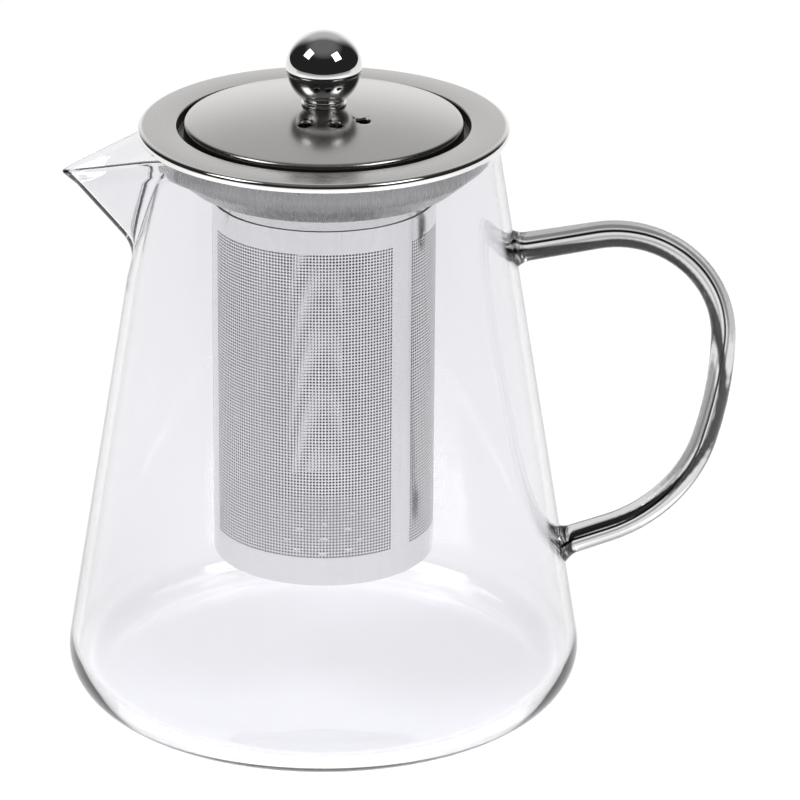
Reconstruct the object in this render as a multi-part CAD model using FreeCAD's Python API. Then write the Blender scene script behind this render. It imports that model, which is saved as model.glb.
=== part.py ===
import FreeCAD, Part
import math
import os

os.makedirs("parts", exist_ok=True)

V = FreeCAD.Vector

# glass pot, mm, base centre at the origin, spout toward -X, handle toward +X
pot_diameter = 130.0
pot_height = 148.4
wall = 2.0
base_thick = 3.0
base_radius = 55.0
cone_taper = 0.1647
rim_bead = 0.9
rim_height = 3.0

# pulled pouring lip
spout_reach = 64.2
spout_tip_z = 136.5
spout_root_z = 117.0
spout_half_width = 25.0
spout_tip_round = 3.4
spout_floor_z = 110.0
spout_wall = 2.2
rim_fall_start_x = -28.0

# handle rod
rod_diameter = 7.0
weld_diameter = 10.0
weld_length = 3.5
handle_top = V(67.76, 0, 120.2)
handle_rise = 10.0
bend_radius = (27.3, 95.0, 38.0)
bend_turn = (100.0, 16.5, 54.0)

# infuser
sheet = 0.6
collar_sheet = 0.5
basket_sheet = 0.4
flange_radius = 45.7
flange_drop = 2.1
opening_radius = 36.15
ledge_depth = 2.9
ledge_radius = 32.5
collar_radius = 38.9
collar_straight_z = 141.6
crease_radius = 33.5
crease_z = 135.3
neck_end_z = 129.4
basket_radius = 27.76
basket_top_z = 130.7
basket_bottom_z = 37.2
field_count = 3
field_angle = 107.0
field_start = -69.0
field_low_z = 47.0
field_high_z = 122.5
hole_columns = 7
hole_rows = 10
hole_diameter = 2.6
base_hole_rings = ((0.0, 1), (9.0, 8), (18.0, 16))

# lid and knob
lid_sheet = 0.7
lid_gap = 1.75
lid_edge_z = 150.0
lid_rise = 4.0
lid_flat_radius = 6.2
vent_diameter = 3.5
vent_circle = 14.5
vent_step = 29.5
vent_centre = 12.4
neck_radius = 5.3
neck_height = 1.7
ball_radius = 9.2
ball_proud = 0.2
ball_sheet = 0.8
seam_below_centre = 0.5
boss_radius = 4.4
boss_height = 4.0
screw_diameter = 4.0
screw_clearance = 0.3
screw_head_radius = 3.6
screw_head_height = 1.8


def save(name, shape):
    shape.exportStep("parts/" + name + ".step")


def spin(points):
    wire = Part.makePolygon([V(r, 0, z) for r, z in points + points[:1]])
    return Part.Face(wire).revolve(V(0, 0, 0), V(0, 0, 1), 360)


def spin_edges(edges):
    face = Part.Face(Part.Wire(edges))
    return face.revolve(V(0, 0, 0), V(0, 0, 1), 360)


def line(a, b):
    return Part.makeLine(V(a[0], 0, a[1]), V(b[0], 0, b[1]))


def arc(a, b, c):
    return Part.Arc(V(a[0], 0, a[1]), V(b[0], 0, b[1]), V(c[0], 0, c[1])).toShape()


def tube(radius, inner, low, high):
    return spin([(inner, low), (radius, low), (radius, high), (inner, high)])


def offset_side(mid, shift):
    # mitred copy of a sheet's middle line, shifted to one side
    side = []
    count = len(mid)
    for i in range(count):
        normals = []
        for j in (i - 1, i):
            if 0 <= j < count - 1:
                dr = mid[j + 1][0] - mid[j][0]
                dz = mid[j + 1][1] - mid[j][1]
                length = math.hypot(dr, dz)
                normals.append((-dz / length, dr / length))
        nr = sum(n[0] for n in normals) / len(normals)
        nz = sum(n[1] for n in normals) / len(normals)
        grow = shift / (nr * nr + nz * nz)
        side.append((mid[i][0] + nr * grow, mid[i][1] + nz * grow))
    return side


def spin_sheet(mid, thick):
    return spin(offset_side(mid, thick / 2) + offset_side(mid, -thick / 2)[::-1])


# pot side profile
pot_radius = pot_diameter / 2
slope_length = math.sqrt(1 + cone_taper ** 2)
heel_radius = pot_radius - base_radius
cone_foot = base_radius + heel_radius * (slope_length + cone_taper)


def cone_radius(z):
    return cone_foot - cone_taper * z


def heel_points(heel):
    centre = (base_radius, heel_radius)
    tangent = (centre[0] + heel / slope_length, centre[1] + heel * cone_taper / slope_length)
    middle = (centre[0] + heel * math.sin(0.9), centre[1] - heel * math.cos(0.9))
    low = (base_radius, heel_radius - heel)
    return low, middle, tangent


def outer_pot():
    low, middle, tangent = heel_points(heel_radius)
    bead_low = pot_height - rim_height
    bead_radius = cone_radius(pot_height) + rim_bead
    shoulder = (cone_radius(bead_low - 2), bead_low - 2)
    bead_foot = (bead_radius, bead_low + 0.6)
    bead_side = (bead_radius, pot_height - 0.9)
    bead_mid = (bead_radius - 0.26, pot_height - 0.26)
    bead_top = (bead_radius - 0.9, pot_height)
    return spin_edges([
        line((0, 0), low),
        arc(low, middle, tangent),
        line(tangent, shoulder),
        line(shoulder, bead_foot),
        line(bead_foot, bead_side),
        arc(bead_side, bead_mid, bead_top),
        line(bead_top, (0, pot_height)),
        line((0, pot_height), (0, 0)),
    ])


def inner_pot():
    heel = heel_radius - base_thick
    low, middle, tangent = heel_points(heel)
    inner_foot = (cone_radius(tangent[1] + 9) - wall * slope_length, tangent[1] + 9)
    mouth = (cone_radius(pot_height) - wall * slope_length, pot_height + 1)
    return spin_edges([
        line((0, base_thick), low),
        arc(low, middle, tangent),
        line(tangent, inner_foot),
        line(inner_foot, mouth),
        line(mouth, (0, pot_height + 1)),
        line((0, pot_height + 1), (0, base_thick)),
    ])


# pouring lip
root_radius = cone_radius(spout_root_z)
keel_run = (spout_reach - root_radius) / (spout_tip_z - spout_root_z)
rim_fall_end = spout_tip_z + 0.4


def lip_wire(z, inset, deep_x):
    reach = root_radius + keel_run * (z - spout_root_z) - inset * math.hypot(1, keel_run)
    share = (z - spout_floor_z) / (pot_height - spout_floor_z)
    tip = spout_tip_round - inset * 0.9
    half = tip + 1.2 + (spout_half_width - tip) * share - inset * 0.8
    centre = -(reach - tip)
    lean = math.atan2(half - tip, deep_x - centre)
    lean += math.asin(tip / math.hypot(half, deep_x - centre)) * 0.2
    touch = V(centre - tip * math.sin(lean), tip * math.cos(lean), z)
    under = V(touch.x, -touch.y, z)
    nose = V(-reach, 0, z)
    inside = V(deep_x, half, z)
    inside_low = V(deep_x, -half, z)
    edges = [
        Part.makeLine(inside, touch),
        Part.Arc(touch, nose, under).toShape(),
        Part.makeLine(under, inside_low),
        Part.makeLine(inside_low, inside),
    ]
    return Part.Wire(edges)


def lip(inset):
    top_z = pot_height + 2
    return Part.makeLoft([lip_wire(spout_floor_z, inset, -18.0), lip_wire(top_z, inset, -18.0)], True, True)


def glass_body():
    top_cut = Part.makeBox(400, 400, 60, V(-200, -200, pot_height))
    outer = outer_pot().fuse(lip(0).cut(top_cut))
    inner = inner_pot().fuse(lip(spout_wall))
    fall = math.degrees(math.atan2(pot_height - rim_fall_end, spout_reach + rim_fall_start_x))
    above = Part.makeBox(120, 200, 60, V(-120, -100, 0))
    above.rotate(V(0, 0, 0), V(0, 1, 0), -fall)
    above.translate(V(rim_fall_start_x, 0, pot_height))
    return outer.cut(inner).cut(above).removeSplitter()


def rod_run(start, direction, length):
    end = start + direction * length
    shape = Part.makeCylinder(rod_diameter / 2, length, start, direction)
    return shape, end


def rod_bend(start, direction, radius, turn):
    # clockwise bend seen from the front, -Y
    right = V(direction.z, 0, -direction.x)
    centre = start + right * radius
    ring = Part.Face(Part.Wire(Part.makeCircle(rod_diameter / 2, start, direction)))
    shape = ring.revolve(centre, V(0, 1, 0), turn)
    end = FreeCAD.Rotation(V(0, 1, 0), turn).multVec(start - centre) + centre
    return shape, end, FreeCAD.Rotation(V(0, 1, 0), turn).multVec(direction)


def glass_handle():
    rise = math.radians(handle_rise)
    heading = V(math.cos(rise), 0, math.sin(rise))
    run = 30.0
    pieces = [rod_run(handle_top - heading * run, heading, run)[0]]
    weld_points = [(handle_top, heading * -1)]
    spot = handle_top
    for radius, turn in zip(bend_radius, bend_turn):
        shape, spot, heading = rod_bend(spot, heading, radius, turn)
        pieces.append(shape)
    pieces.append(rod_run(spot, heading, run - 10)[0])
    weld_points.append((spot, heading))
    for point, toward in weld_points:
        reach = wall_distance(point, toward)
        start = point + toward * (reach - weld_length)
        pieces.append(Part.makeCone(rod_diameter / 2, weld_diameter / 2, weld_length, start, toward))
        far = start + toward * weld_length
        pieces.append(Part.makeCylinder(weld_diameter / 2, 4.0, far, toward))
    handle = pieces[0]
    for piece in pieces[1:]:
        handle = handle.fuse(piece)
    return handle.cut(outer_pot()).removeSplitter()


def wall_distance(point, toward):
    # distance along a line in the front plane to the pot's sloping outside
    gap = point.x - cone_radius(point.z)
    closing = -toward.x - cone_taper * toward.z
    return gap / closing


# infuser
flange_top = pot_height + sheet
flange_mid = flange_top - sheet / 2
seat_wall = opening_radius + sheet / 2
ledge_top = flange_top - ledge_depth


def infuser_flange():
    edge = flange_radius - sheet / 2
    mid = [
        (edge, flange_top - flange_drop),
        (edge, flange_mid - 0.5),
        (edge - 0.5, flange_mid),
        (seat_wall, flange_mid),
        (seat_wall, ledge_top - sheet / 2),
        (ledge_radius, ledge_top - sheet / 2),
    ]
    return spin_sheet(mid, sheet)


basket_inner = basket_radius - basket_sheet
neck_mid = basket_inner - collar_sheet / 2


def infuser_collar():
    side = collar_radius - collar_sheet / 2
    mid = [
        (side, pot_height),
        (side, collar_straight_z),
        (side - 1.3, collar_straight_z - 2.6),
        (crease_radius - 0.1, crease_z),
        (crease_radius - 1.1, crease_z - 0.5),
        (neck_mid, crease_z - 1.2),
        (neck_mid, neck_end_z),
    ]
    return spin_sheet(mid, collar_sheet)


def infuser_wall():
    shell = tube(basket_radius, basket_inner, basket_bottom_z, basket_top_z)
    drills = []
    for field in range(field_count):
        for column in range(hole_columns):
            step = field_angle / hole_columns
            angle = field_start + field * 360.0 / field_count + (column + 0.5) * step
            heading = math.radians(angle - 90.0)
            out = V(math.cos(heading), math.sin(heading), 0)
            for row in range(hole_rows):
                z = field_low_z + row * (field_high_z - field_low_z) / (hole_rows - 1)
                start = out * (basket_radius - 3) + V(0, 0, z)
                drills.append(Part.makeCylinder(hole_diameter / 2, 6, start, out))
    return shell.cut(Part.makeCompound(drills))


def infuser_base():
    disc = Part.makeCylinder(basket_inner, sheet, V(0, 0, basket_bottom_z))
    drills = []
    for radius, count in base_hole_rings:
        for i in range(count):
            angle = 2 * math.pi * i / count
            spot = V(radius * math.cos(angle), radius * math.sin(angle), basket_bottom_z - 1)
            drills.append(Part.makeCylinder(hole_diameter / 2, 4, spot))
    return disc.cut(Part.makeCompound(drills))


# lid
lid_radius = opening_radius - lid_gap
lid_top = lid_edge_z + lid_rise
bore = screw_diameter / 2 + screw_clearance


def dome_z(radius):
    run = lid_radius - 1.0
    sphere = (run * run + lid_rise * lid_rise) / (2 * lid_rise)
    shift = math.sqrt(sphere ** 2 - lid_flat_radius ** 2)
    return lid_top - shift + math.sqrt(sphere ** 2 - radius ** 2)


def lid_plate():
    flat = lid_flat_radius
    shoulder = lid_radius - 1.0
    shoulder_z = dome_z(shoulder)
    inner = lid_radius - lid_sheet
    side_z = shoulder_z - 0.8
    mid_r = (flat + shoulder) / 2
    plate = spin_edges([
        line((bore, lid_top), (flat, lid_top)),
        arc((flat, lid_top), (mid_r, dome_z(mid_r)), (shoulder, shoulder_z)),
        line((shoulder, shoulder_z), (lid_radius, side_z)),
        line((lid_radius, side_z), (lid_radius, ledge_top)),
        line((lid_radius, ledge_top), (inner, ledge_top)),
        line((inner, ledge_top), (inner, side_z - 0.3)),
        line((inner, side_z - 0.3), (shoulder - 0.3, shoulder_z - lid_sheet)),
        arc(
            (shoulder - 0.3, shoulder_z - lid_sheet),
            (mid_r, dome_z(mid_r) - lid_sheet),
            (flat, lid_top - lid_sheet),
        ),
        line((flat, lid_top - lid_sheet), (bore, lid_top - lid_sheet)),
        line((bore, lid_top - lid_sheet), (bore, lid_top)),
    ])
    for i in (-1, 0, 1):
        angle = math.radians(vent_centre + i * vent_step - 90.0)
        spot = V(vent_circle * math.cos(angle), vent_circle * math.sin(angle), lid_edge_z - 4)
        plate = plate.cut(Part.makeCylinder(vent_diameter / 2, 12, spot))
    return plate


# knob
ball_foot = lid_top + neck_height
ball_drop = math.sqrt(ball_radius ** 2 - neck_radius ** 2)
ball_centre = ball_foot + ball_drop
seam_z = ball_centre - seam_below_centre


def knob_neck():
    step = neck_height / 3
    return spin([
        (bore, lid_top),
        (neck_radius + 0.3, lid_top),
        (neck_radius + 0.3, lid_top + step),
        (neck_radius - 0.7, lid_top + step),
        (neck_radius - 0.7, lid_top + 2 * step),
        (neck_radius - 0.1, lid_top + 2 * step),
        (neck_radius - 0.1, ball_foot),
        (bore, ball_foot),
    ])


def on_ball(radius, z):
    return math.sqrt(radius ** 2 - (z - ball_centre) ** 2)


def knob_lower_shell():
    inside = ball_radius - ball_sheet
    floor = ball_foot + 1.0
    boss_top = ball_foot + boss_height
    low_mid = (ball_foot + seam_z) / 2
    in_mid = (floor + seam_z) / 2
    thread = screw_diameter / 2
    return spin_edges([
        line((thread, ball_foot), (neck_radius, ball_foot)),
        arc(
            (neck_radius, ball_foot),
            (on_ball(ball_radius, low_mid), low_mid),
            (on_ball(ball_radius, seam_z), seam_z),
        ),
        line((on_ball(ball_radius, seam_z), seam_z), (on_ball(inside, seam_z), seam_z)),
        arc(
            (on_ball(inside, seam_z), seam_z),
            (on_ball(inside, in_mid), in_mid),
            (on_ball(inside, floor), floor),
        ),
        line((on_ball(inside, floor), floor), (boss_radius, floor)),
        line((boss_radius, floor), (boss_radius, boss_top)),
        line((boss_radius, boss_top), (thread, boss_top)),
        line((thread, boss_top), (thread, ball_foot)),
    ])


def knob_upper_shell():
    outside = ball_radius + ball_proud
    inside = ball_radius - ball_sheet
    tilt = math.radians(45)
    return spin_edges([
        line((on_ball(inside, seam_z), seam_z), (on_ball(outside, seam_z), seam_z)),
        arc(
            (on_ball(outside, seam_z), seam_z),
            (outside * math.cos(tilt), ball_centre + outside * math.sin(tilt)),
            (0, ball_centre + outside),
        ),
        line((0, ball_centre + outside), (0, ball_centre + inside)),
        arc(
            (0, ball_centre + inside),
            (inside * math.cos(tilt), ball_centre + inside * math.sin(tilt)),
            (on_ball(inside, seam_z), seam_z),
        ),
    ])


def knob_screw():
    under = lid_top - lid_sheet
    head = Part.makeCylinder(screw_head_radius, screw_head_height, V(0, 0, under - screw_head_height))
    slot = Part.makeBox(10, 0.8, 0.8, V(-5, -0.4, under - screw_head_height))
    shank = Part.makeCylinder(screw_diameter / 2, ball_foot + boss_height - 0.5 - under, V(0, 0, under))
    return head.cut(slot).fuse(shank).removeSplitter()


save("glass_body", glass_body())
save("glass_handle", glass_handle())
save("infuser_flange", infuser_flange())
save("infuser_collar", infuser_collar())
save("infuser_wall", infuser_wall())
save("infuser_base", infuser_base())
save("lid_plate", lid_plate())
save("knob_neck", knob_neck())
save("knob_lower_shell", knob_lower_shell())
save("knob_upper_shell", knob_upper_shell())
save("knob_screw", knob_screw())
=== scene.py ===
import bpy
import math
from mathutils import Matrix, Vector


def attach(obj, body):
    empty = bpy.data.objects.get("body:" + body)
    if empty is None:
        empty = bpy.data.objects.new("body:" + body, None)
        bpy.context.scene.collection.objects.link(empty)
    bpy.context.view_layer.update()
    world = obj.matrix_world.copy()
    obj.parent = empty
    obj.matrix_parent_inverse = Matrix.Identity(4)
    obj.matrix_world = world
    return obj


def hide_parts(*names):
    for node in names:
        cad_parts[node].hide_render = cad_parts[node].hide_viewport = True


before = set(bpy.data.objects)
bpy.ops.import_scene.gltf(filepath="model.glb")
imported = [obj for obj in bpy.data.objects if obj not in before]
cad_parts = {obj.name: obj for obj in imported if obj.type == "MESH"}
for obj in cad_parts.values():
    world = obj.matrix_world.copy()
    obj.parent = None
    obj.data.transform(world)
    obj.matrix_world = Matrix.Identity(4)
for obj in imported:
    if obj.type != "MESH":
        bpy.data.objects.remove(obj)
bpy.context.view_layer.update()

mm = 0.001
turn = 2 * math.pi


# shader maths: a wrapped socket that adds its own nodes
class Wire:
    def __init__(self, tree, socket):
        self.tree = tree
        self.socket = socket

    def math(self, operation, *others):
        return Shade(self.tree).node("ShaderNodeMath", dict(operation=operation), self, *others)

    def __add__(self, other):
        return self.math("ADD", other)

    def __sub__(self, other):
        return self.math("SUBTRACT", other)

    def __rsub__(self, other):
        return Shade(self.tree).node("ShaderNodeMath", dict(operation="SUBTRACT"), other, self)

    def __mul__(self, other):
        return self.math("MULTIPLY", other)

    def __truediv__(self, other):
        return self.math("DIVIDE", other)

    __radd__ = __add__
    __rmul__ = __mul__


class Shade:
    def __init__(self, tree):
        self.tree = tree

    def node(self, kind, settings=None, *values, out=0, **named):
        made = self.tree.nodes.new(kind)
        for name, value in (settings or {}).items():
            if name == "stops":
                ramp = made.color_ramp.elements
                while len(ramp) < len(value):
                    ramp.new(0.5)
                for stop, (place, grey) in zip(ramp, value):
                    stop.position = place
                    stop.color = (grey, grey, grey, 1)
            else:
                setattr(made, name, value)
        for key, value in [*enumerate(values), *named.items()]:
            self.put(made.inputs[key.replace("_", " ") if isinstance(key, str) else key], value)
        return Wire(self.tree, made.outputs[out])

    def put(self, socket, value):
        if isinstance(value, Wire):
            self.tree.links.new(value.socket, socket)
        else:
            socket.default_value = value

    def mixColour(self, factor, first, second):
        made = self.tree.nodes.new("ShaderNodeMix")
        made.data_type = "RGBA"
        self.put(made.inputs[0], factor)
        self.put(made.inputs[6], first)
        self.put(made.inputs[7], second)
        return Wire(self.tree, made.outputs[2])


def newMaterial(name):
    material = bpy.data.materials.new(name)
    material.use_nodes = True
    tree = material.node_tree
    shader = next(n for n in tree.nodes if n.type == "BSDF_PRINCIPLED")
    return material, Shade(tree), shader


def place(shade):
    return shade.node("ShaderNodeTexCoord", out=3)


def split(shade, vector):
    made = shade.tree.nodes.new("ShaderNodeSeparateXYZ")
    shade.put(made.inputs[0], vector)
    return [Wire(shade.tree, o) for o in made.outputs]


def join(shade, x, y, z):
    return shade.node("ShaderNodeCombineXYZ", None, x, y, z)


def around(shade):
    x, y, z = split(shade, place(shade))
    angle = y.math("ARCTAN2", x)
    radius = (x * x + y * y).math("SQRT")
    return angle, radius, z


def noise(shade, vector, scale, detail=3.0):
    return shade.node("ShaderNodeTexNoise", None, Vector=vector, Scale=scale, Detail=detail)


def softStep(shade, value, start, end, low, high):
    settings = dict(interpolation_type="SMOOTHSTEP")
    return shade.node("ShaderNodeMapRange", settings, value, start, end, low, high)


# perforated basket, sizes in mm
basket = dict(
    radius=27.76, sheet=0.4, top=130.7, bottom=37.2, fieldLow=44.5, fieldHigh=124.9,
    fieldAngle=107.0, fieldStart=-69.0, fields=3, columns=65, rows=100, halves=2, hole=0.56, holeSides=8,
)


# steel finishes; a zone is part of a piece, between radii or heights in mm, with its own tone and gloss: the
# light zones are polished bands, the dark zones are painted shade in gaps, recesses and on inner faces
steelLook = dict(
    satin=dict(
        tone=(0.64, 0.62, 0.61), rough=0.27, swing=0.10, grain=0.05, zones=(
            dict(where=(("radius", 44.4, 44.8),), tone=(0.80, 0.79, 0.78), rough=0.05),
            # painted shade: the seat wall and ledge inside the opening are darkened where the gap round the
            # lid lies in shadow
            dict(where=(("radius", 36.9, 36.5), ("z", 148.9, 148.5)), tone=(0.16, 0.16, 0.16), rough=0.4),
        ),
    ),
    lid=dict(tone=(0.62, 0.605, 0.595), rough=0.20, swing=0.06, grain=0.02, zones=(
        # painted shade: the lid's turned-down edge wall is darkened where it faces the shaded gap to the
        # flange
        dict(where=(("radius", 34.0, 34.3), ("z", 149.3, 148.9)), tone=(0.16, 0.16, 0.16), rough=0.4),
    )),
    brushed=dict(tone=(0.44, 0.43, 0.43), rough=0.27, swing=0.45, grain=0.12, zones=(
        dict(where=(("z", 135.0, 134.8),), tone=(0.70, 0.69, 0.69), rough=0.07),
    )),
    basket=dict(tone=(0.86, 0.855, 0.86), rough=0.18, swing=0.14, grain=0.04, zones=(
        # painted shade: the inner face and the hole walls are darkened so the holes show dark, as the inside
        # lies in shadow
        dict(where=(("radius", 27.75, 27.62),), tone=(0.05, 0.05, 0.05), rough=0.5),
    )),
    polished=dict(tone=(0.78, 0.775, 0.77), rough=0.035, swing=0.03, grain=0.0, zones=()),
)
grainScale = dict(rings=(1.2, 2600, 500), upright=(70, 200, 60), fine=(6, 600, 600))


def steel(name, look, lines):
    material, shade, shader = newMaterial(name)
    angle, radius, z = around(shade)
    acrossAngle, acrossRadius, acrossZ = grainScale[lines]
    grainPlace = join(shade, angle * acrossAngle, radius * acrossRadius, z * acrossZ)
    streak = noise(shade, grainPlace, 1.0, 4.0)
    cloud = noise(shade, place(shade), 45.0, 3.0)
    tone = look["tone"]
    dark = [c * (1 - look["swing"]) for c in tone]
    colour = shade.mixColour(streak * 0.6 + cloud * 0.4, (*dark, 1), (*tone, 1))
    rough = look["rough"] + (streak - 0.5) * 1.8 * look["grain"]
    for zone in look["zones"]:
        share = 1.0
        for axis, start, end in zone["where"]:
            along = radius if axis == "radius" else z
            share = softStep(shade, along, start * mm, end * mm, 0.0, 1.0) * share
        colour = shade.mixColour(share, colour, (*zone["tone"], 1))
        rough = rough + (zone["rough"] - rough) * share
    shade.put(shader.inputs["Base Color"], colour)
    shade.put(shader.inputs["Roughness"], rough)
    shader.inputs["Metallic"].default_value = 1.0
    if look["grain"]:
        bump = shade.node("ShaderNodeBump", None, Height=streak, Strength=look["grain"], Distance=0.0002)
        shade.put(shader.inputs["Normal"], bump)
    return material


# stops give the share of painted dark edge shade, which stands for the dark room reflected and refracted at
# the glass's edges, against how far the surface turns away
glassLook = dict(
    pot=dict(
        tint=(0.89, 0.89, 0.91), edge=(0.14, 0.145, 0.15), ior=1.47,
        stops=((0.0, 0.0), (0.76, 0.03), (0.92, 0.35), (1.0, 1.0)),
    ),
    rod=dict(
        tint=(0.72, 0.725, 0.725), edge=(0.0001, 0.0001, 0.0001), ior=1.47,
        stops=((0.0, 0.03), (0.45, 0.08), (0.74, 0.35), (0.90, 0.9), (1.0, 1.0)),
        # loop, line, lineZ, lineWidth and lines place the rod's painted dark streaks
        loop=(60.0, 80.0), line=(-0.30, 0.52), lineZ=(70.0, 122.0), lineWidth=(0.06, 0.12),
        lines=((0.0, 1.0), (0.26, 0.80), (-0.34, 0.60)),
    ),
)


def rodPaintedStreaks(shade, look):
    # painted dark streaks along the rod, standing for the dark room seen through it, which move from its
    # inner side to its upper side up the bend
    x, y, z = split(shade, place(shade))
    normalX, normalY, normalZ = split(shade, shade.node("ShaderNodeTexCoord", out=1))
    outX = x - look["loop"][0] * mm
    outZ = z - look["loop"][1] * mm
    across = (normalX * outX + normalZ * outZ) / (outX * outX + outZ * outZ).math("SQRT")
    low, high = look["lineZ"]
    away = across - softStep(shade, z, low * mm, high * mm, *look["line"])
    dark = 0.0
    for shift, strength in look["lines"]:
        dark = softStep(shade, (away - shift).math("ABSOLUTE"), *look["lineWidth"], strength, 0.0) + dark
    return dark.math("MINIMUM", 1.0)


def clearGlass(name, look):
    material, shade, shader = newMaterial(name)
    # painted shade: the edge colour darkens the glass where it turns away from the view, standing for the
    # dark room seen in it
    facing = shade.node("ShaderNodeLayerWeight", None, 0.5, out=1)
    rim = shade.node("ShaderNodeValToRGB", dict(stops=look["stops"]), facing)
    # the rod also gets painted dark streaks of shade
    if "line" in look:
        rim = rim.math("MAXIMUM", rodPaintedStreaks(shade, look))
    else:
        # less painted dark edge shade near the foot, so the thick heel shows lighter than the thin wall above
        # it
        rim = rim * softStep(shade, split(shade, place(shade))[2], 0.006, 0.024, 0.25, 1.0)
    shade.put(shader.inputs["Base Color"], shade.mixColour(rim, (*look["tint"], 1), (*look["edge"], 1)))
    smear = noise(shade, place(shade), 30.0, 2.0)
    shade.put(shader.inputs["Roughness"], smear * 0.012)
    shader.inputs["Transmission Weight"].default_value = 1.0
    shader.inputs["IOR"].default_value = look["ior"]
    through = shade.tree.nodes.new("ShaderNodeBsdfTransparent")
    through.inputs[0].default_value = (0.93, 0.935, 0.95, 1)
    shadowRay = shade.node("ShaderNodeLightPath", out=1)
    mixer = shade.tree.nodes.new("ShaderNodeMixShader")
    output = next(n for n in shade.tree.nodes if n.type == "OUTPUT_MATERIAL")
    shade.put(mixer.inputs[0], shadowRay)
    shade.tree.links.new(shader.outputs[0], mixer.inputs[1])
    shade.tree.links.new(through.outputs[0], mixer.inputs[2])
    shade.tree.links.new(mixer.outputs[0], output.inputs[0])
    return material


potFinish = clearGlass("clear_glass", glassLook["pot"])
rodFinish = clearGlass("handle_glass", glassLook["rod"])
flangeFinish = steel("satin_steel_flange", steelLook["satin"], "rings")
lidFinish = steel("satin_steel_lid", steelLook["lid"], "fine")
collarFinish = steel("brushed_steel_collar", steelLook["brushed"], "upright")
basketFinish = steel("basket_steel", steelLook["basket"], "upright")
knobFinish = steel("polished_steel", steelLook["polished"], "fine")
print("finishes ready")


# modelling helpers
def dropSelection():
    if bpy.context.mode != "OBJECT":
        bpy.ops.object.mode_set(mode="OBJECT")
    bpy.ops.object.select_all(action="DESELECT")


def rounded(corners, steps=7):
    # corner points (r, z, fillet) in mm, each fillet drawn as an arc
    outline = []
    for i, (r, z, fillet) in enumerate(corners):
        here = Vector((r, z))
        if not fillet:
            outline.append(here)
            continue
        before = Vector(corners[i - 1][:2]) - here
        after = Vector(corners[(i + 1) % len(corners)][:2]) - here
        half = before.angle(after) / 2
        reach = fillet / math.tan(half)
        start = here + before.normalized() * reach
        end = here + after.normalized() * reach
        middle = here + (before.normalized() + after.normalized()).normalized() * (fillet / math.sin(half))
        sweep = (start - middle).angle_signed(end - middle)
        for k in range(steps + 1):
            outline.append(middle + Matrix.Rotation(-sweep * k / steps, 2) @ (start - middle))
    return outline


def divided(outline, closed, longest):
    # extra points on long stretches; longest gives the span allowed at a height
    points = []
    count = len(outline) if closed else len(outline) - 1
    for i in range(count):
        a, b = outline[i], outline[(i + 1) % len(outline)]
        parts = max(1, math.ceil((b - a).length / longest(max(a.y, b.y))))
        points += [a.lerp(b, k / parts) for k in range(parts)]
    return points if closed else points + [outline[-1]]


def lathe(name, outline, steps, closed=True):
    dropSelection()
    bpy.ops.mesh.primitive_plane_add(size=mm)
    piece = bpy.context.object
    piece.name = piece.data.name = name
    bpy.ops.object.mode_set(mode="EDIT")
    bpy.ops.mesh.select_mode(type="VERT")
    bpy.ops.mesh.select_all(action="SELECT")
    bpy.ops.mesh.merge(type="CENTER")
    bpy.ops.transform.translate(value=(outline[0].x * mm, 0, outline[0].y * mm))
    path = outline[1:] + outline[:1] if closed else outline[1:]
    last = outline[0]
    for point in path:
        shift = ((point.x - last.x) * mm, 0, (point.y - last.y) * mm)
        bpy.ops.mesh.extrude_vertices_move(TRANSFORM_OT_translate=dict(value=shift))
        last = point
    bpy.ops.mesh.select_all(action="SELECT")
    bpy.ops.mesh.spin(steps=steps, angle=turn, center=(0, 0, 0), axis=(0, 0, 1))
    bpy.ops.mesh.select_all(action="SELECT")
    bpy.ops.mesh.remove_doubles(threshold=0.002 * mm)
    bpy.ops.mesh.delete_loose()
    bpy.ops.mesh.select_all(action="SELECT")
    bpy.ops.mesh.normals_make_consistent(inside=False)
    bpy.ops.object.mode_set(mode="OBJECT")
    return piece


def smooth(piece, degrees=35):
    dropSelection()
    piece.select_set(True)
    bpy.context.view_layer.objects.active = piece
    bpy.ops.object.shade_smooth_by_angle(angle=math.radians(degrees))


def finishPiece(piece, body, slot, material, *nodes):
    piece.data.materials.clear()
    piece.data.materials.append(material)
    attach(piece, body)
    if nodes:
        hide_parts(*nodes)


# glass pot: turned body whose rim is pulled out into a pouring lip
pot = dict(
    height=148.4, baseRadius=55.0, maxRadius=65.0, taper=0.1647, wall=2.0, floor=3.0, bead=0.9,
    lipReach=64.1, lipTipZ=136.5, lipRootZ=117.0, lipStartZ=108.0, flank=2.16, tipRound=1.9,
    rimFallX=28.0, blend=4.0, steps=320,
)
slant = math.hypot(1, pot["taper"])
heelRadius = pot["maxRadius"] - pot["baseRadius"]
coneFoot = pot["baseRadius"] + heelRadius * (slant + pot["taper"])


def coneRadius(z):
    return coneFoot - pot["taper"] * z


def potOutline():
    top = pot["height"]
    rim = coneRadius(top) + pot["bead"]
    mouth = coneRadius(top) - pot["wall"] * slant
    innerFoot = coneRadius(pot["floor"]) - pot["wall"] * slant - 0.6
    corners = [
        (0, 0, 0),
        (coneFoot, 0, heelRadius),
        (coneRadius(top - 5), top - 5, 6.0),
        (rim, top - 2.6, 1.2),
        (rim, top, 1.0),
        (mouth, top, 1.0),
        (coneRadius(top - 8) - pot["wall"] * slant, top - 8, 0),
        (innerFoot, pot["floor"], heelRadius - pot["wall"]),
        (0, pot["floor"] + 0.5, 0),
    ]
    outline = rounded(corners, 9)
    return divided(outline, False, lambda z: 1.1 if z > pot["lipStartZ"] else 5.0)


def softMax(a, b, k):
    gap = max(k - abs(a - b), 0) / k
    return max(a, b) + gap * gap * k / 4


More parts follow.
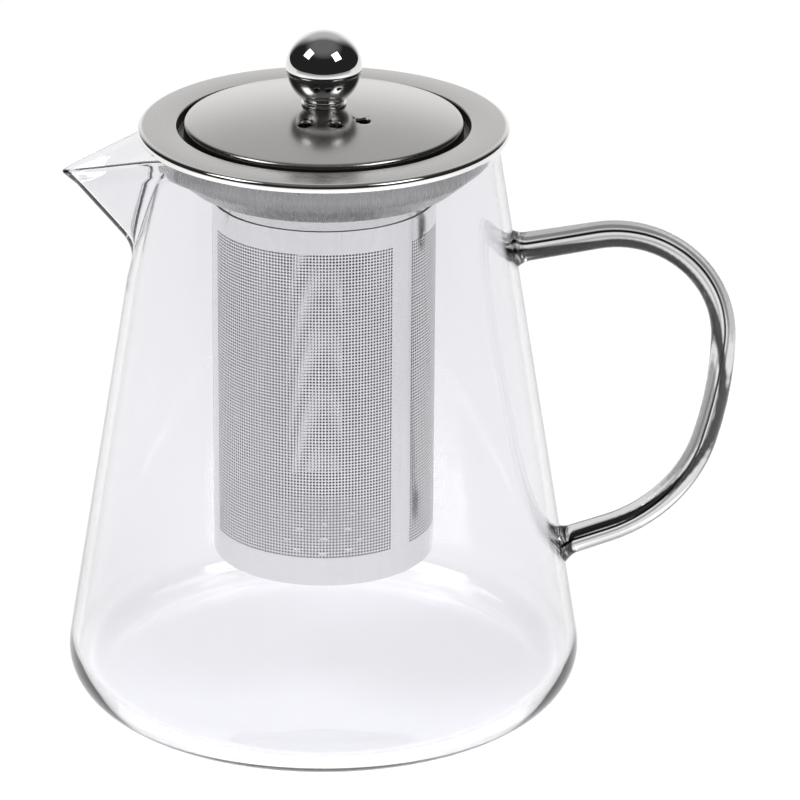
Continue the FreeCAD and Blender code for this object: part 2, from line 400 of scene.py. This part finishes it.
def pullLip(piece):
    rootRadius = coneRadius(pot["lipRootZ"])
    keel = (pot["lipReach"] - rootRadius) / (pot["lipTipZ"] - pot["lipRootZ"])
    fall = (pot["height"] - pot["lipTipZ"]) / (pot["lipReach"] - pot["rimFallX"])
    flankLength = math.hypot(1, pot["flank"])

    def out(x, y, z, inset):
        reach = rootRadius + keel * (z - pot["lipRootZ"])
        tip = max(0.3, pot["tipRound"] - 0.55 * inset)
        apex = reach + pot["flank"] * pot["tipRound"] - inset * flankLength
        return softMax(x, apex - pot["flank"] * math.hypot(y, tip), pot["blend"])

    for v in piece.data.vertices:
        x, y, z = -v.co.x / mm, v.co.y / mm, v.co.z / mm
        if z < pot["lipStartZ"] or x < pot["rimFallX"] - 6:
            continue
        inset = min(max(coneRadius(z) - math.hypot(x, y), -1.0), pot["wall"])
        rimX = math.sqrt(max(0, coneRadius(pot["height"]) ** 2 - y * y))
        drop = 0.0
        for k in range(6):
            spread = out(rimX, y, pot["height"] - drop, inset)
            drop = fall * softMax(spread - pot["rimFallX"], 0, 8.0)
        share = (z - pot["lipStartZ"]) / (pot["height"] - pot["lipStartZ"])
        newZ = z - drop * share
        v.co = (-out(x, y, newZ, inset) * mm, v.co.y, newZ * mm)


potGlass = lathe("pot_glass", potOutline(), pot["steps"], closed=False)
pullLip(potGlass)
smooth(potGlass, 60)
finishPiece(potGlass, "pot", "glass", potFinish, "glass_body")
print("pot turned and lip pulled:", len(potGlass.data.vertices))


# glass handle: rod bent through three arcs, thinner in the middle, spread at its welds
handle = dict(
    topX=67.76, topZ=120.2, rise=10.0, bends=((27.3, 100.0), (95.0, 16.5), (38.0, 54.0)),
    endDiameter=7.4, midDiameter=6.2, weldDiameter=10.2, weldLength=3.2, sides=10,
)


def wallGap(point, heading):
    gap = point.x - coneRadius(point.y)
    return gap / (-heading.x - pot["taper"] * heading.y)


def handleLine():
    heading = Vector((math.cos(math.radians(handle["rise"])), math.sin(math.radians(handle["rise"]))))
    spot = Vector((handle["topX"], handle["topZ"]))
    start = spot - heading * (wallGap(spot, -heading) + 0.7)
    line = [start.lerp(spot, (k / 14) ** 1.4) for k in range(14)]
    for radius, angle in handle["bends"]:
        centre = spot + Vector((heading.y, -heading.x)) * radius
        parts = math.ceil(angle / 4)
        for k in range(parts):
            line.append(centre + Matrix.Rotation(-math.radians(angle) * k / parts, 2) @ (spot - centre))
        spot = centre + Matrix.Rotation(-math.radians(angle), 2) @ (spot - centre)
        heading = Matrix.Rotation(-math.radians(angle), 2) @ heading
    end = spot + heading * (wallGap(spot, heading) + 0.7)
    line += [spot.lerp(end, 1 - (1 - k / 14) ** 1.4) for k in range(15)]
    return line


def bendHandle():
    line = handleLine()
    lengths = [0.0]
    for a, b in zip(line, line[1:]):
        lengths.append(lengths[-1] + (b - a).length)
    dropSelection()
    bpy.ops.curve.primitive_nurbs_path_add()
    rod = bpy.context.object
    rod.data.splines.clear()
    spline = rod.data.splines.new("POLY")
    spline.points.add(len(line) - 1)
    for point, spot, length in zip(spline.points, line, lengths):
        nearEnd = min(length, lengths[-1] - length)
        middle = math.sin(math.pi * length / lengths[-1])
        radius = handle["endDiameter"] + (handle["midDiameter"] - handle["endDiameter"]) * middle
        weld = max(0, 1 - nearEnd / handle["weldLength"]) ** 1.6
        radius += (handle["weldDiameter"] - handle["endDiameter"]) * weld
        point.co = (spot.x * mm, 0, spot.y * mm, 1)
        point.radius = radius / 2
    rod.data.bevel_depth = mm
    rod.data.bevel_resolution = handle["sides"]
    rod.data.use_fill_caps = True
    bpy.ops.object.convert(target="MESH")
    rod = bpy.context.object
    rod.name = rod.data.name = "handle_rod"
    return rod


handleRod = bendHandle()
smooth(handleRod, 60)
finishPiece(handleRod, "pot", "glass", rodFinish, "glass_handle")
print("handle bent")


# infuser: flange ring, collar bowl and perforated basket
flange = dict(
    radius=45.7, top=149.0, sheet=0.6, drop=2.1, opening=36.15, ledge=146.1, ledgeRadius=32.5, steps=192,
)


def turnFlange():
    t, top, r = flange["sheet"], flange["top"], flange["radius"]
    corners = [
        (r, top - flange["drop"], 0.25),
        (r, top, 1.1),
        (flange["opening"], top, 0.5),
        (flange["opening"], flange["ledge"], 0.3),
        (flange["ledgeRadius"], flange["ledge"], 0.25),
        (flange["ledgeRadius"], flange["ledge"] - t, 0.25),
        (flange["opening"] + t, flange["ledge"] - t, 0.6),
        (flange["opening"] + t, top - t, 0.2),
        (r - t, top - t, 0.5),
        (r - t, top - flange["drop"], 0.25),
    ]
    return lathe("infuser_flange_ring", rounded(corners, 6), flange["steps"])


flangeRing = turnFlange()
smooth(flangeRing, 50)
finishPiece(flangeRing, "infuser", "satin_steel", flangeFinish, "infuser_flange")

collar = dict(
    radius=38.9, sheet=0.5, top=148.4, straightZ=141.6, creaseRadius=33.5, creaseZ=135.3,
    neckRadius=27.36, neckEndZ=129.4, steps=160,
)


def turnCollar():
    t, r, neck = collar["sheet"], collar["radius"], collar["neckRadius"]
    crease, creaseZ = collar["creaseRadius"], collar["creaseZ"]
    corners = [
        (r, collar["top"], 0),
        (r, collar["straightZ"] - 1.5, 3.0),
        (crease, creaseZ, 0.6),
        (neck, creaseZ - 1.0, 0.7),
        (neck, collar["neckEndZ"], 0),
        (neck - t, collar["neckEndZ"], 0),
        (neck - t, creaseZ - 0.4, 0.4),
        (crease - t, creaseZ + t, 0.5),
        (r - t, collar["straightZ"] - 1.1, 2.6),
        (r - t, collar["top"], 0),
    ]
    return lathe("infuser_collar_bowl", rounded(corners, 7), collar["steps"])


collarBowl = turnCollar()
smooth(collarBowl, 40)
finishPiece(collarBowl, "infuser", "brushed_steel", collarFinish, "infuser_collar")
print("flange and collar turned")


def wrapAround(piece, startAngle):
    # flat strip in the XZ plane rolled onto the basket's cylinder, x as arc length
    radius = basket["radius"] * mm
    for v in piece.data.vertices:
        angle = startAngle + v.co.x / radius - math.pi / 2
        depth = radius - v.co.y
        v.co = (depth * math.cos(angle), depth * math.sin(angle), v.co.z)


def punchedCell(width, height):
    # one square of sheet with a round hole, eight faces round it
    dropSelection()
    sides = basket["holeSides"]
    upright = (math.pi / 2, 0, 0)
    bpy.ops.mesh.primitive_circle_add(vertices=sides, radius=basket["hole"] / 2 * mm, rotation=upright)
    cell = bpy.context.object
    bpy.ops.object.transform_apply(rotation=True)
    bpy.ops.object.mode_set(mode="EDIT")
    bpy.ops.mesh.select_all(action="SELECT")
    bpy.ops.mesh.extrude_edges_move(TRANSFORM_OT_translate=dict(value=(0, 0, 0)))
    bpy.ops.object.mode_set(mode="OBJECT")
    for v in cell.data.vertices:
        if v.select:
            reach = max(abs(v.co.x), abs(v.co.z))
            v.co.x = round(v.co.x / reach, 3) * width / 2 * mm if abs(v.co.x) > 0.05 * reach else 0
            v.co.z = round(v.co.z / reach, 3) * height / 2 * mm if abs(v.co.z) > 0.05 * reach else 0
    return cell


def applyModifiers(piece):
    dropSelection()
    piece.select_set(True)
    bpy.context.view_layer.objects.active = piece
    for modifier in [m.name for m in piece.modifiers]:
        bpy.ops.object.modifier_apply(modifier=modifier)


def thicken(sheet):
    # rolled sheet turned to face outward, then given its thickness toward the axis
    middle = sheet.data.polygons[len(sheet.data.polygons) // 2]
    if middle.normal.dot(Vector((middle.center.x, middle.center.y, 0))) < 0:
        sheet.data.flip_normals()
    wall = sheet.modifiers.new("wall", "SOLIDIFY")
    wall.thickness = basket["sheet"] * mm
    wall.offset = -1
    applyModifiers(sheet)
    smooth(sheet, 40)
    return sheet


def punchedField(field, half):
    width = math.radians(basket["fieldAngle"]) * basket["radius"] / basket["columns"]
    height = (basket["fieldHigh"] - basket["fieldLow"]) / basket["rows"]
    rows = basket["rows"] // basket["halves"]
    panel = punchedCell(width, height)
    panel.name = panel.data.name = "basket_field_%d_%d" % (field + 1, half + 1)
    for axis, count, step in ((0, basket["columns"], width), (2, rows, height)):
        repeat = panel.modifiers.new("repeat", "ARRAY")
        repeat.count = count
        repeat.use_relative_offset = False
        repeat.use_constant_offset = True
        repeat.constant_offset_displace = [step * mm if k == axis else 0 for k in range(3)]
        repeat.use_merge_vertices = True
        repeat.merge_threshold = 0.01 * mm
    applyModifiers(panel)
    lowest = basket["fieldLow"] + (half * rows + 0.5) * height
    for v in panel.data.vertices:
        v.co.x += width / 2 * mm
        v.co.z += lowest * mm
    start = math.radians(basket["fieldStart"] + field * 360 / basket["fields"])
    wrapAround(panel, start)
    bpy.ops.object.mode_set(mode="EDIT")
    bpy.ops.mesh.select_all(action="SELECT")
    bpy.ops.mesh.normals_make_consistent(inside=False)
    bpy.ops.object.mode_set(mode="OBJECT")
    return thicken(panel)


def plainStrip(name, startAngle, endAngle, low, high):
    # plain sheet between two angles
    dropSelection()
    length = math.radians(endAngle - startAngle) * basket["radius"]
    columns = max(4, math.ceil((endAngle - startAngle) / 2))
    upright = (math.pi / 2, 0, 0)
    bpy.ops.mesh.primitive_grid_add(x_subdivisions=columns, y_subdivisions=6, size=mm, rotation=upright)
    strip = bpy.context.object
    strip.name = strip.data.name = name
    bpy.ops.object.transform_apply(rotation=True)
    for v in strip.data.vertices:
        v.co = ((v.co.x / mm + 0.5) * length * mm, 0, (low + (v.co.z / mm + 0.5) * (high - low)) * mm)
    wrapAround(strip, math.radians(startAngle))
    if endAngle - startAngle == 360:
        bpy.ops.object.mode_set(mode="EDIT")
        bpy.ops.mesh.select_all(action="SELECT")
        bpy.ops.mesh.remove_doubles(threshold=0.01 * mm)
        bpy.ops.object.mode_set(mode="OBJECT")
    return thicken(strip)


def rollBasket():
    pieces = []
    for field in range(basket["fields"]):
        for half in range(basket["halves"]):
            pieces.append(punchedField(field, half))
        start = basket["fieldStart"] + field * 360 / basket["fields"]
        gapStart = start + basket["fieldAngle"]
        gapEnd = start + 360 / basket["fields"]
        name = "basket_strip_%d" % (field + 1)
        pieces.append(plainStrip(name, gapStart, gapEnd, basket["fieldLow"], basket["fieldHigh"]))
    pieces.append(plainStrip("basket_top_band", 0, 360, basket["fieldHigh"], basket["top"]))
    pieces.append(plainStrip("basket_bottom_band", 0, 360, basket["bottom"], basket["fieldLow"]))
    return pieces


for piece in rollBasket():
    finishPiece(piece, "infuser", "brushed_steel", basketFinish, "infuser_wall")
print("basket rolled")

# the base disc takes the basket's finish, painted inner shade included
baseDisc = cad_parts["infuser_base"]
baseDisc.data.materials.clear()
baseDisc.data.materials.append(basketFinish)


# lid with turned-down edge and steam vents
lid = dict(
    radius=34.4, sheet=0.7, edgeZ=150.0, rise=4.0, flat=6.2, foot=146.1, bore=2.3, ventDiameter=3.5,
    ventCircle=14.5, ventStep=29.5, ventCentre=12.4, ventEase=0.35, steps=256,
)


def domeZ(r):
    run = lid["radius"] - 1.0
    sphere = (run * run + lid["rise"] ** 2) / (2 * lid["rise"])
    top = lid["edgeZ"] + lid["rise"]
    return top - math.sqrt(sphere ** 2 - lid["flat"] ** 2) + math.sqrt(sphere ** 2 - r * r)


def turnLid():
    top = lid["edgeZ"] + lid["rise"]
    t = lid["sheet"]
    shoulder = lid["radius"] - 1.0
    arcRadii = [lid["flat"] + (shoulder - 0.8 - lid["flat"]) * k / 12 for k in range(13)]
    corners = [(lid["bore"], top - t, 0), (lid["bore"], top, 0)]
    corners += [(r, domeZ(r), 0) for r in arcRadii]
    corners += [(lid["radius"], domeZ(lid["radius"]), 1.2), (lid["radius"], lid["foot"], 0.2)]
    corners += [(lid["radius"] - t, lid["foot"], 0.2), (lid["radius"] - t, domeZ(lid["radius"] - t) - t, 0.6)]
    corners += [(r, domeZ(r) - t, 0) for r in arcRadii[::-1]]
    return lathe("lid_dome", rounded(corners, 6), lid["steps"])


def pierceVents(piece):
    drills = []
    for x, y in ventSpots():
        dropSelection()
        bpy.ops.mesh.primitive_cylinder_add(
            vertices=40, radius=lid["ventDiameter"] / 2 * mm, depth=0.012, location=(x, y, lid["edgeZ"] * mm))
        drills.append(bpy.context.object)
    for drill in drills:
        cut = piece.modifiers.new("vent", "BOOLEAN")
        cut.object = drill
        cut.operation = "DIFFERENCE"
        cut.solver = "EXACT"
    applyModifiers(piece)
    for drill in drills:
        bpy.data.objects.remove(drill)
    easeVents(piece)


def easeVents(piece):
    # rolled-over edge round each vent, on the outside only
    for vertex in piece.data.vertices:
        vertex.select = False
    for edge in piece.data.edges:
        edge.select = False
    for face in piece.data.polygons:
        face.select = False
    for edge in piece.data.edges:
        ends = [piece.data.vertices[i].co for i in edge.vertices]
        edge.select = all(onVentRim(end) for end in ends)
    bpy.ops.object.mode_set(mode="EDIT")
    bpy.ops.mesh.select_mode(type="EDGE")
    bpy.ops.mesh.bevel(offset=lid["ventEase"] * mm, segments=3, affect="EDGES")
    bpy.ops.object.mode_set(mode="OBJECT")


def onVentRim(point):
    upper = point.z / mm > domeZ(math.hypot(point.x, point.y) / mm) - 0.2
    for spot in ventSpots():
        away = math.hypot(point.x - spot[0], point.y - spot[1]) / mm
        if upper and abs(away - lid["ventDiameter"] / 2) < 0.03:
            return True
    return False


def ventSpots():
    angles = [math.radians(lid["ventCentre"] + i * lid["ventStep"] - 90) for i in (-1, 0, 1)]
    return [(lid["ventCircle"] * math.cos(a) * mm, lid["ventCircle"] * math.sin(a) * mm) for a in angles]


lidDome = turnLid()
pierceVents(lidDome)
smooth(lidDome, 40)
finishPiece(lidDome, "lid", "satin_steel", lidFinish, "lid_plate")
print("lid turned and pierced")


# ball knob: neck, two half shells
knob = dict(
    foot=155.7, neckRadius=5.3, neckLip=0.3, groove=0.7, neckInset=0.1, grooveZ=(0.6, 1.1), grooveSlope=0.05,
    radius=9.2, proud=0.2, seamBelow=0.5, boreRadius=2.3, steps=128,
)
ballCentre = knob["foot"] + math.sqrt(knob["radius"] ** 2 - knob["neckRadius"] ** 2)
seamZ = ballCentre - knob["seamBelow"]


def ballArc(radius, fromAngle, toAngle, parts):
    angles = [fromAngle + (toAngle - fromAngle) * k / parts for k in range(parts + 1)]
    return [Vector((radius * math.cos(a), ballCentre + radius * math.sin(a))) for a in angles]


def turnKnob():
    lidTop = lid["edgeZ"] + lid["rise"]
    r, bore = knob["neckRadius"], knob["boreRadius"]
    low, high = [lidTop + z for z in knob["grooveZ"]]
    slope = knob["grooveSlope"]
    lipRadius, grooveRadius, upperRadius = r + knob["neckLip"], r - knob["groove"], r - knob["neckInset"]
    neckCorners = [
        (bore, lidTop, 0),
        (lipRadius, lidTop, 0.1),
        (lipRadius, low - slope, 0.15),
        (grooveRadius, low + slope, 0.15),
        (grooveRadius, high - slope, 0.1),
        (upperRadius, high + slope, 0.15),
        (upperRadius, knob["foot"], 0.1),
        (bore, knob["foot"], 0),
    ]
    neck = lathe("knob_neck_ring", rounded(neckCorners, 4), knob["steps"])
    footAngle = math.asin((knob["foot"] - ballCentre) / knob["radius"])
    seamLow = math.asin((seamZ - 0.12 - ballCentre) / knob["radius"])
    lowerOutline = [Vector((0, knob["foot"]))] + ballArc(knob["radius"], footAngle, seamLow, 24)
    lowerOutline.append(Vector((knob["radius"] - 0.7, seamZ)))
    lowerOutline.append(Vector((0, seamZ)))
    lower = lathe("knob_lower_half", lowerOutline, knob["steps"], closed=False)
    outer = knob["radius"] + knob["proud"]
    seamHigh = math.asin((seamZ + 0.35 - ballCentre) / outer)
    upperOutline = [Vector((0, seamZ)), Vector((outer - 0.35, seamZ)), Vector((outer - 0.12, seamZ + 0.08))]
    upperOutline += ballArc(outer, seamHigh, math.pi / 2, 32)
    upper = lathe("knob_upper_half", upperOutline, knob["steps"], closed=False)
    return neck, lower, upper


knobNeck, knobLower, knobUpper = turnKnob()
knobPieces = ((knobNeck, "knob_neck"), (knobLower, "knob_lower_shell"), (knobUpper, "knob_upper_shell"))
for piece, node in knobPieces:
    smooth(piece, 35)
    finishPiece(piece, "lid", "polished_steel", knobFinish, node)
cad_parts["knob_screw"].data.materials.clear()
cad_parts["knob_screw"].data.materials.append(knobFinish)
print("knob turned")


# studio: white floor and surroundings, two soft boxes above the sides, dark room in front
studio = dict(
    floorSize=6.0, floorGlow=1.05, boxSize=0.46, boxDistance=0.95, boxPower=9.0, boxGlow=3.0,
    sideLevel=0.30, foreLevel=0.85, frontLevel=0.10, upperLevel=0.58, topLevel=0.16, darkLevel=0.02,
    fillLevel=0.5,
)
boxAims = dict(soft_box_left=(-0.65, -0.23, 0.71), soft_box_right=(0.60, -0.41, 0.70))


def rayKinds(tree):
    path = tree.nodes.new("ShaderNodeLightPath")
    return [Wire(tree, path.outputs["Is %s Ray" % kind]) for kind in ("Camera", "Glossy", "Transmission")]


def levelAround(shade, toBack):
    # brightness round the horizon as glass sees it: bright behind and in front, dim at the sides
    rear = softStep(shade, toBack, 0.60, 0.93, studio["sideLevel"], 1.0)
    fore = softStep(shade, toBack, -0.05, -0.40, studio["sideLevel"], studio["foreLevel"])
    return rear.math("MAXIMUM", fore)


def boxGlow(shade, x, y, z, aim):
    # square patch of light in the direction of a soft box
    ahead = Vector(aim).normalized()
    right = ahead.cross(Vector((0, 0, 1))).normalized()
    glow = studio["boxGlow"]
    for axis in (right, right.cross(ahead)):
        away = (x * axis.x + y * axis.y + z * axis.z).math("ABSOLUTE")
        glow = softStep(shade, away, 0.18, 0.21, 1.0, 0.0) * glow
    return softStep(shade, x * ahead.x + y * ahead.y + z * ahead.z, 0.0, 0.2, 0.0, 1.0) * glow


def makeFloor():
    # white where the camera looks; glass and steel see it dimmer at the sides and in front
    dropSelection()
    bpy.ops.mesh.primitive_plane_add(size=studio["floorSize"], location=(0, 0, -0.0002))
    floor = bpy.context.object
    floor.name = "studio_floor"
    material, shade, shader = newMaterial("studio_white")
    shader.inputs["Base Color"].default_value = (0.8, 0.8, 0.8, 1)
    shader.inputs["Roughness"].default_value = 0.9
    x, y, z = split(shade, place(shade))
    radius = (x * x + y * y).math("SQRT")
    near = softStep(shade, radius, 0.14, 0.24, 1.0, 0.0)
    side = levelAround(shade, y / radius.math("MAXIMUM", 0.001)).math("MAXIMUM", near)
    front = softStep(shade, y, -0.25, 0.10, studio["frontLevel"], 1.0)
    camera, glossy, through = rayKinds(shade.tree)
    seen = (camera + glossy * front * (1 - camera) + through * side * (1 - camera)).math("MINIMUM", 1.0)
    glow = shade.node("ShaderNodeEmission", None, (1, 1, 1, 1), studio["floorGlow"])
    mixer = shade.tree.nodes.new("ShaderNodeMixShader")
    shade.put(mixer.inputs[0], seen * 0.8)
    shade.tree.links.new(shader.outputs[0], mixer.inputs[1])
    shade.tree.links.new(glow.socket, mixer.inputs[2])
    output = next(n for n in shade.tree.nodes if n.type == "OUTPUT_MATERIAL")
    shade.tree.links.new(mixer.outputs[0], output.inputs[0])
    floor.data.materials.append(material)


def makeLamp(name, aimFrom):
    lamp = bpy.data.lights.new(name, "AREA")
    lamp.shape = "SQUARE"
    lamp.size = studio["boxSize"]
    lamp.energy = studio["boxPower"]
    holder = bpy.data.objects.new(name, lamp)
    bpy.context.collection.objects.link(holder)
    aim = Vector((0, 0, 0.12))
    holder.location = aim + Vector(aimFrom).normalized() * studio["boxDistance"]
    holder.rotation_euler = (aim - holder.location).to_track_quat("-Z", "Y").to_euler()
    holder.visible_glossy = False


def makeWorld():
    world = bpy.data.worlds.new("studio_world")
    bpy.context.scene.world = world
    world.use_nodes = True
    tree = world.node_tree
    shade = Shade(tree)
    back = next(n for n in tree.nodes if n.type == "BACKGROUND")
    x, y, z = split(shade, shade.node("ShaderNodeTexCoord", out=0))
    low = softStep(shade, z, 0.10, 0.62, 1.0, studio["upperLevel"])
    # steel sees a white sweep straight behind and a little light from above
    narrow = softStep(shade, x.math("ABSOLUTE"), 0.30, 0.75, 1.0, 0.0)
    sweep = softStep(shade, y, 0.15, 0.70, 0.0, 1.0) * narrow
    top = softStep(shade, z, 0.60, 0.95, 0.0, studio["topLevel"])
    room = (sweep * low).math("MAXIMUM", top).math("MAXIMUM", studio["darkLevel"])
    for aim in boxAims.values():
        room = room.math("MAXIMUM", boxGlow(shade, x, y, z, aim))
    # glass sees white along the horizon, dimmer to the sides
    horizon = softStep(shade, z, 0.08, 0.25, 1.0, 0.0)
    behind = softStep(shade, y, 0.50, 0.90, 0.0, 1.0) * softStep(shade, z, 0.12, 0.40, 1.0, 0.1)
    beyond = (horizon * levelAround(shade, y)).math("MAXIMUM", behind).math("MAXIMUM", studio["darkLevel"])
    camera, glossy, through = rayKinds(tree)
    plain = 1.0 - (camera + glossy + through).math("MINIMUM", 1.0)
    level = camera + (glossy * room + through * beyond) * (1 - camera) + plain * studio["fillLevel"]
    shade.put(back.inputs["Strength"], level)
    back.inputs["Color"].default_value = (1, 1, 1, 1)


def makeCamera():
    # camera fitted to the photograph's outlines
    shot = dict(place=(0.01915, -1.1309, 0.5350), pitch=22.10, roll=0.393, lens=218.7)
    data = bpy.data.cameras.new("photo_camera")
    data.lens = shot["lens"]
    data.sensor_width = 36
    data.clip_end = 20
    camera = bpy.data.objects.new("photo_camera", data)
    bpy.context.collection.objects.link(camera)
    pitch = Matrix.Rotation(math.radians(90 - shot["pitch"]), 4, "X")
    roll = Matrix.Rotation(math.radians(shot["roll"]), 4, "Z")
    camera.matrix_world = Matrix.Translation(shot["place"]) @ pitch @ roll
    bpy.context.scene.camera = camera


makeFloor()
for name, aim in boxAims.items():
    makeLamp(name, aim)
makeWorld()
makeCamera()
bpy.context.scene.view_settings.view_transform = "Standard"
print("studio ready")

dropSelection()
